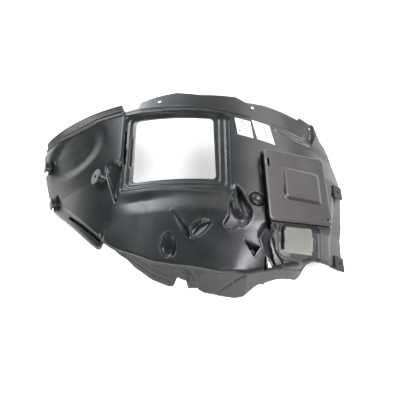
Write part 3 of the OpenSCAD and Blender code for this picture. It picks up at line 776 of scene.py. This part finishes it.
pad, neck, tall = fixings["bossPad"], fixings["bossNeck"], fixings["bossHeight"]
foot = tall + fixings["bossFoot"]
bossVerts, bossFaces = latheRings([(0.01, -tall), (bore, -tall), (bore, -0.7), (bore + 0.7, 0), (pad - 1, 0),
                                   (pad, -1), (pad, -thick), (neck + 2, -thick), (neck, -thick - 2),
                                   (neck, -foot), (0.01, -foot)], 48)
added.append((turned(bossVerts, fixings["bossSpot"], fixings["bossTurn"]), bossFaces))

allVerts, allFaces = [shellVerts], list(shellFaces)
at = len(shellVerts)
for verts, faces in added:
    allVerts.append(verts)
    allFaces += [[k + at for k in face] for face in faces]
    at += len(verts)
liner = meshObject("linerPanel", np.concatenate(allVerts), allFaces)
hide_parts("liner_panel")
print("liner", sum(len(p.vertices) - 2 for p in liner.data.polygons), "triangles")


halfW, halfL = cover["width"] / 2, cover["length"] / 2
plateLoop = roundedLoop(coverCorners(cover["width"], cover["length"]), cover["corner"], 8)
panelLoop = roundedLoop(cover["panel"], cover["panelCorner"], 6)
panelTop = roundedLoop(cover["panelTop"], cover["topCorner"], 6)
slotLoops = [boxLoop(mid, size, cover["slotCorner"], 4) for mid, size in cover["slots"]]


def coverKeep(u, v):
    # positive on the plate, negative in a slot and outside
    far = depthInside(u, v, plateLoop)
    for loop in slotLoops:
        far = np.minimum(far, -depthInside(u, v, loop))
    return far


step = cover["gridStep"]
reachU = halfW + cover["gridMargin"][0]
reachV = halfL + cover["rise"] * halfW + cover["gridMargin"][1]
u, v = np.meshgrid(*[np.arange(-far, far + 0.1, step) for far in (reachU, reachV)], indexing="ij")
moveX, moveY, keep = snapMove(coverKeep, u, v, step * cover["snap"])
u, v = u - moveX, v - moveY
edgeFall = cover["edgeFall"] * (1 - ease(0, cover["edgeRound"], depthInside(u, v, plateLoop)))
outside, inside = depthInside(u, v, panelLoop), depthInside(u, v, panelTop)
bevel = np.clip(outside / np.maximum(outside - np.minimum(inside, 0), 1e-6), 0, 1)
height = cover["panelHeight"] * np.where(inside > 0, 1, np.where(outside > 0, bevel, 0)) - edgeFall
coverPoints = np.stack([u, v, height], 2).reshape(-1, 3)
lidVerts, lidFaces = thicken(*cutSheet(coverPoints, u.shape, keep.ravel()), cover["thick"] - cover["edgeThin"])
half = len(lidVerts) // 2
lidVerts[half:, 2] = np.maximum(lidVerts[half:, 2], -cover["thick"])  # the underside stays flat
lid = meshObject("serviceCover", turned(lidVerts, cover["mid"], math.degrees(cover["tilt"])), lidFaces)
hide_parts("service_cover")
print("cover", len(lidFaces), "faces")

stickers = {
    "leftSticker": {"node": "sticker_a", "mid": (108, 119), "size": (33, 45), "lean": 2.5},
    "rightSticker": {"node": "sticker_b", "mid": (149.5, 118), "size": (38, 50), "lean": 5},
    "slope": -0.11,
    "lift": 0.15,
    "thick": 0.3,
    "cells": 14,
}


def stickerSheet(name, facts):
    # a thin label that follows the arch
    w, l = facts["size"]
    n = stickers["cells"]
    top, uvs = [], []
    for i in range(n + 1):
        for j in range(n + 1):
            a, b = i / n, j / n
            px = facts["mid"][0] + (a - 0.5) * w + facts["lean"] * (1 - 2 * b)
            py = facts["mid"][1] + (b - 0.5) * l + stickers["slope"] * (a - 0.5) * w
            top.append((px, py, float(archZ(px)) + stickers["lift"] + stickers["thick"]))
            uvs.append((a, b))
    faces = [[i * (n + 1) + j, (i + 1) * (n + 1) + j, (i + 1) * (n + 1) + j + 1, i * (n + 1) + j + 1]
             for i in range(n) for j in range(n)]
    obj = meshObject(name, *thicken(np.array(top), faces, stickers["thick"]))
    layer = obj.data.uv_layers.new(name="label")
    for loop in obj.data.loops:
        layer.data[loop.index].uv = uvs[loop.vertex_index % len(uvs)]
    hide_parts(facts["node"])
    return obj


leftSticker = stickerSheet("leftSticker", stickers["leftSticker"])
rightSticker = stickerSheet("rightSticker", stickers["rightSticker"])
print("stickers made")


def nodeGroup(name, inputs, outputs):
    group = bpy.data.node_groups.new(name, "ShaderNodeTree")
    for label, kind, value in inputs:
        socket = group.interface.new_socket(label, in_out="INPUT", socket_type=kind)
        if value is not None:
            socket.default_value = value
    for label, kind in outputs:
        group.interface.new_socket(label, in_out="OUTPUT", socket_type=kind)
    return group, group.nodes.new("NodeGroupInput"), group.nodes.new("NodeGroupOutput")


def feed(tree, socket, value):
    # a plain value or another node's output
    if isinstance(value, bpy.types.NodeSocket):
        tree.links.new(value, socket)
    else:
        socket.default_value = value


def mathNode(tree, operation, *values, clamp=False):
    node = tree.nodes.new("ShaderNodeMath")
    node.operation = operation
    node.use_clamp = clamp
    for socket, value in zip(node.inputs, values):
        feed(tree, socket, value)
    return node.outputs[0]


def noiseNode(tree, **values):
    # noise over the piece's own coordinates
    node = tree.nodes.new("ShaderNodeTexNoise")
    for key, value in values.items():
        node.inputs[key].default_value = value
    tree.links.new(tree.nodes.new("ShaderNodeTexCoord").outputs["Object"], node.inputs["Vector"])
    return node


def rangeNode(tree, value, start, end, soft=False):
    # 0 at the start and 1 at the end
    node = tree.nodes.new("ShaderNodeMapRange")
    if soft:
        node.interpolation_type = "SMOOTHSTEP"
    for name, given in (("Value", value), ("From Min", start), ("From Max", end)):
        feed(tree, node.inputs[name], given)
    return node.outputs["Result"]


# fine moulded grain with soft flow ripples
number = "NodeSocketFloat"
grain, grainIn, grainOut = nodeGroup("mouldedGrain", [("Scale", number, 900.0), ("Ripple", number, 0.3)],
                                     [("Height", number), ("Mottle", number)])
fine = noiseNode(grain, Detail=3.0)
grain.links.new(grainIn.outputs["Scale"], fine.inputs["Scale"])
slow = noiseNode(grain, Scale=22.0, Detail=2.0)
rippled = mathNode(grain, "MULTIPLY", slow.outputs["Fac"], grainIn.outputs["Ripple"])
grain.links.new(mathNode(grain, "ADD", fine.outputs["Fac"], rippled), grainOut.inputs["Height"])
grain.links.new(slow.outputs["Fac"], grainOut.inputs["Mottle"])

# pale wear and painted highlight where the surface turns sharply: the paler rims stand in for light caught on
# fillets and lips
wearAndHighlight, wearAndHighlightIn, wearAndHighlightOut = nodeGroup("edgeWearAndHighlight", [("From", number, 0.52), ("To", number, 0.6)],
                                  [("Mask", number)])
sharpness = wearAndHighlight.nodes.new("ShaderNodeNewGeometry").outputs["Pointiness"]
rubbedAndLit = rangeNode(wearAndHighlight, sharpness, wearAndHighlightIn.outputs["From"], wearAndHighlightIn.outputs["To"])
broken = noiseNode(wearAndHighlight, Scale=25.0, Detail=2.0)
wornAndLit = mathNode(wearAndHighlight, "MULTIPLY", rubbedAndLit, broken.outputs["Fac"], clamp=True)
wearAndHighlight.links.new(wornAndLit, wearAndHighlightOut.inputs["Mask"])

# thin dust in patches
dust, dustIn, dustOut = nodeGroup("shopDust", [("Amount", number, 0.2)], [("Mask", number)])
cloud = noiseNode(dust, Scale=14.0, Detail=8.0, Roughness=0.65)
patches = rangeNode(dust, cloud.outputs["Fac"], 0.45, 0.75)
dusty = mathNode(dust, "MULTIPLY", patches, dustIn.outputs["Amount"], clamp=True)
dust.links.new(dusty, dustOut.inputs["Mask"])


def placeGroup(tree, group, **values):
    node = tree.nodes.new("ShaderNodeGroup")
    node.node_tree = group
    for key, value in values.items():
        node.inputs[key].default_value = value
    return node


def mixColour(tree, a, b, factor):
    node = tree.nodes.new("ShaderNodeMix")
    node.data_type = "RGBA"
    for socket, value in ((node.inputs[6], a), (node.inputs[7], b)):
        feed(tree, socket, (*value, 1) if isinstance(value, tuple) else value)
    feed(tree, node.inputs[0], factor)
    return node.outputs[2]


def newMaterial(name):
    mat = bpy.data.materials.new(name)
    mat.use_nodes = True
    return mat, mat.node_tree, mat.node_tree.nodes["Principled BSDF"]


def bumpFrom(tree, shader, height, strength, distance):
    bump = tree.nodes.new("ShaderNodeBump")
    bump.inputs["Strength"].default_value = strength
    bump.inputs["Distance"].default_value = distance
    tree.links.new(height, bump.inputs["Height"])
    tree.links.new(bump.outputs["Normal"], shader.inputs["Normal"])


def plasticMaterial(name, facts):
    mat, tree, shader = newMaterial(name)
    g = placeGroup(tree, grain, Scale=facts["grainScale"], Ripple=facts["ripple"])
    w = placeGroup(tree, wearAndHighlight, From=facts["wearAndHighlight"][0], To=facts["wearAndHighlight"][1])
    d = placeGroup(tree, dust, Amount=facts["dust"])
    base = mixColour(tree, facts["colour"], facts["mottleColour"], g.outputs["Mottle"])
    base = mixColour(tree, base, facts["dustColour"], d.outputs["Mask"])
    # paler colour on sharp rims: partly wear, partly painted highlight
    base = mixColour(tree, base, facts["wearAndHighlightColour"], w.outputs["Mask"])
    tree.links.new(base, shader.inputs["Base Color"])
    rough = mathNode(tree, "MULTIPLY_ADD", g.outputs["Mottle"], facts["roughSpread"], facts["rough"])
    dulled = mathNode(tree, "MULTIPLY", d.outputs["Mask"], facts["dustRough"])
    tree.links.new(mathNode(tree, "ADD", rough, dulled, clamp=True), shader.inputs["Roughness"])
    bumpFrom(tree, shader, g.outputs["Height"], facts["bump"], facts["bumpSize"])
    shader.inputs["IOR"].default_value = 1.5
    return mat


linerFinish = {
    "colour": (0.011, 0.0135, 0.0145),
    "mottleColour": (0.016, 0.0195, 0.0205),
    "dustColour": (0.11, 0.108, 0.1),
    # pale rim colour: wear and painted highlight
    "wearAndHighlightColour": (0.17, 0.17, 0.165),
    "rough": 0.22,
    "roughSpread": 0.14,
    "dustRough": 0.35,
    "bump": 0.12,
    "bumpSize": 0.0006,
    "grainScale": 900.0,
    "ripple": 0.4,
    "wearAndHighlight": (0.52, 0.6),
    "dust": 0.15,
}
coverFinish = dict(linerFinish, colour=(0.026, 0.023, 0.025), mottleColour=(0.034, 0.03, 0.032), rough=0.28,
                   roughSpread=0.1, dust=0.16)
linerPlastic = plasticMaterial("charcoalMouldedPlastic", linerFinish)
coverPlastic = plasticMaterial("satinCoverPlastic", coverFinish)


paperFinish = {
    "paper": (0.9, 0.9, 0.93),
    "paperMottle": (0.85, 0.85, 0.88),
    "bar": (0.12, 0.12, 0.13),
    "rough": 0.55,
    "bump": 0.08,
    "bumpSize": 0.0003,
    "grainScale": 1600.0,
    "ripple": 0.1,
    "leftBars": [(0.3, 0.62, 0.83, 0.88), (0.42, 0.66, 0.66, 0.71), (0.52, 0.8, 0.46, 0.5),
                 (0.56, 0.82, 0.34, 0.38), (0.1, 0.24, 0.2, 0.3)],
    "rightBars": [(0.52 + 0.012 * k, 0.64 + 0.012 * k, 0.84 - 0.09 * k, 0.89 - 0.09 * k) for k in range(8)]
                 + [(0.08, 0.36, 0.86, 0.9)],
}


def stickerMaterial(name, bars):
    # white paper with a few plain dark bars, each from x to x and y to y of the label
    mat, tree, shader = newMaterial(name)
    uv = tree.nodes.new("ShaderNodeUVMap")
    uv.uv_map = "label"
    split = tree.nodes.new("ShaderNodeSeparateXYZ")
    tree.links.new(uv.outputs["UV"], split.inputs[0])
    total = None
    for x0, x1, y0, y1 in bars:
        inside = [mathNode(tree, "MULTIPLY", mathNode(tree, "GREATER_THAN", split.outputs[axis], low),
                           mathNode(tree, "LESS_THAN", split.outputs[axis], high))
                  for axis, low, high in (("X", x0, x1), ("Y", y0, y1))]
        bar = mathNode(tree, "MULTIPLY", *inside)
        total = bar if total is None else mathNode(tree, "MAXIMUM", total, bar)
    g = placeGroup(tree, grain, Scale=paperFinish["grainScale"], Ripple=paperFinish["ripple"])
    paper = mixColour(tree, paperFinish["paper"], paperFinish["paperMottle"], g.outputs["Mottle"])
    tree.links.new(mixColour(tree, paper, paperFinish["bar"], total), shader.inputs["Base Color"])
    shader.inputs["Roughness"].default_value = paperFinish["rough"]
    bumpFrom(tree, shader, g.outputs["Height"], paperFinish["bump"], paperFinish["bumpSize"])
    return mat


leftPaper = stickerMaterial("leftStickerPaper", paperFinish["leftBars"])
rightPaper = stickerMaterial("rightStickerPaper", paperFinish["rightBars"])
finished = ((liner, linerPlastic), (lid, coverPlastic), (leftSticker, leftPaper), (rightSticker, rightPaper))
for obj, mat in finished:
    obj.data.materials.clear()
    obj.data.materials.append(mat)
print("materials set")

# The floor glows. To the camera it is plain and pale, except under the arch, where a painted shadow darkens
# it, also as seen through the windows.
# The glow that the plastic mirrors is painted reflection: darker in front, brighter behind, with a paler band
# in the middle under the arch. Its colours, then where each begins:
floor = {
    "colour": (0.6, 0.6, 0.6),
    "rough": 0.8,
    "reach": 6.0,
    "down": 0.0005,
    "power": 2.0,
    "seen": (0.62, 0.62, 0.62),
    # front, frontRight and back: painted reflection colours; under, underRight and band: painted shadow under
    # the arch
    "front": (0.1, 0.1, 0.1),
    "frontRight": (0.25, 0.225, 0.215),
    "band": (0.36, 0.36, 0.36),
    "back": (0.62, 0.62, 0.6),
    "under": (0.16, 0.155, 0.15),
    "underRight": (0.1, 0.098, 0.09),
    "rightFrom": (0.02, 0.2),
    "backFrom": (-0.25, 0.05),
    "underRightFrom": (0.05, 0.2),
    "bandSides": (-0.13, -0.05, 0.03),
    "underSides": (-0.28, -0.2, 0.25, 0.3),
    "underEnds": (-0.11, -0.05, 0.24, 0.32),
    "underShift": (0.1, 0.2, 0.05),
}
# Each light has its name, place, aim, size, watts and colour.
studio = {
    "world": (0.92, 0.95, 1.0),
    "worldPower": 0.18,
    "lights": [
        ("rightLight", (1.5, 1.15, 0.95), (0.1, 0, 0.1), (1.5, 0.9), 14, (1, 0.94, 0.97)),
        ("sparkLight", (1.41, 0.5, 1.5), (0.12, -0.17, 0.12), (0.65, 0.95), 33, (0.93, 0.92, 1)),
        ("backLight", (0.1, 1.75, 1.25), (0, 0, 0.1), (2.4, 0.8), 7, (1, 0.96, 0.92)),
        ("leftBackLight", (-0.72, 1.68, 1.18), (0, 0, 0.1), (1.3, 0.7), 12.5, (0.84, 0.94, 1)),
        ("streakLight", (-0.93, 1.42, 1.32), (-0.1, -0.05, 0.15), (0.2, 0.5), 7, (0.92, 0.97, 1)),
        ("leftFrontLight", (-1.85, -1.45, 0.7), (-0.25, 0.15, 0.1), (2.4, 0.8), 44, (1, 0.98, 0.93)),
        ("frontLight", (0.2, -2.2, 1.1), (0, 0, 0.1), (2.4, 2.0), 60, (1, 0.96, 0.88)),
    ],
    "target": (0.023526, -0.012626, 0.077),
    "elevation": 55.0,
    "distance": 1.3,
    "lens": 57.07,
    "filmWidth": 36.0,
    "seesTo": 50,
}


def floorPlane():
    mesh = bpy.data.meshes.new("floor")
    r = floor["reach"]
    mesh.from_pydata([(-r, -r, 0), (r, -r, 0), (r, r, 0), (-r, r, 0)], [], [(0, 1, 2, 3)])
    obj = bpy.data.objects.new("floor", mesh)
    obj.location.z = -floor["down"]
    bpy.context.scene.collection.objects.link(obj)
    mat, tree, shader = newMaterial("glowFloorPaintedShade")
    shader.inputs["Base Color"].default_value = (*floor["colour"], 1)
    shader.inputs["Roughness"].default_value = floor["rough"]
    shader.inputs["Emission Strength"].default_value = floor["power"]
    split = tree.nodes.new("ShaderNodeSeparateXYZ")
    tree.links.new(tree.nodes.new("ShaderNodeTexCoord").outputs["Object"], split.inputs[0])
    px, py = split.outputs["X"], split.outputs["Y"]

    def soft(value, start, end):
        return rangeNode(tree, value, start, end, True)

    # painted reflection: the glow the plastic mirrors is dark in front, lighter to the right, and bright
    # behind
    front = mixColour(tree, floor["front"], floor["frontRight"], soft(px, *floor["rightFrom"]))
    bare = mixColour(tree, front, floor["back"], soft(py, *floor["backFrom"]))
    # painted shadow: darker glow under the arch, darker still under the right end; the camera sees it through
    # the windows
    under = mixColour(tree, floor["under"], floor["underRight"], soft(px, *floor["underRightFrom"]))
    # painted light: a paler band in the middle of the painted shadow under the arch
    a, b, c = floor["bandSides"]
    band = mathNode(tree, "MULTIPLY", soft(px, a, b), soft(px, c, b))
    under = mixColour(tree, under, floor["band"], band)
    a, b, c, d = floor["underSides"]
    across = mathNode(tree, "MULTIPLY", soft(px, a, b), soft(px, d, c))
    a, b, move = floor["underShift"]
    shifted = mathNode(tree, "MULTIPLY_ADD", soft(px, a, b), move, py)
    a, b, c, d = floor["underEnds"]
    along = mathNode(tree, "MULTIPLY", soft(shifted, a, b), soft(py, d, c))
    # the camera sees the plain pale floor; other rays see the painted glow pattern
    seen = tree.nodes.new("ShaderNodeLightPath").outputs["Is Camera Ray"]
    bare = mixColour(tree, bare, floor["seen"], seen)
    tree.links.new(mixColour(tree, bare, under, mathNode(tree, "MULTIPLY", across, along)),
                   shader.inputs["Emission Color"])
    mesh.materials.append(mat)


def softBox(name, place, aim, size, power, colour):
    data = bpy.data.lights.new(name, "AREA")
    data.shape = "RECTANGLE"
    data.size, data.size_y = size
    data.energy = power
    data.color = colour
    obj = bpy.data.objects.new(name, data)
    obj.location = place
    obj.rotation_mode = "QUATERNION"
    obj.rotation_quaternion = (Vector(aim) - Vector(place)).to_track_quat("-Z", "Y")
    bpy.context.scene.collection.objects.link(obj)


floorPlane()
world = bpy.data.worlds.new("studio")
bpy.context.scene.world = world
world.use_nodes = True
back = world.node_tree.nodes["Background"]
back.inputs["Color"].default_value = (*studio["world"], 1)
back.inputs["Strength"].default_value = studio["worldPower"]
for facts in studio["lights"]:
    softBox(*facts)
bpy.context.scene.view_settings.view_transform = "Standard"

camData = bpy.data.cameras.new("camera")
camData.lens = studio["lens"]
camData.sensor_width = studio["filmWidth"]
camData.clip_end = studio["seesTo"]
camera = bpy.data.objects.new("camera", camData)
bpy.context.scene.collection.objects.link(camera)
lookDown = math.radians(studio["elevation"])
target = Vector(studio["target"])
camera.location = target + Vector((0, -math.cos(lookDown), math.sin(lookDown))) * studio["distance"]
camera.rotation_mode = "QUATERNION"
camera.rotation_quaternion = (target - camera.location).to_track_quat("-Z", "Y")
bpy.context.scene.camera = camera
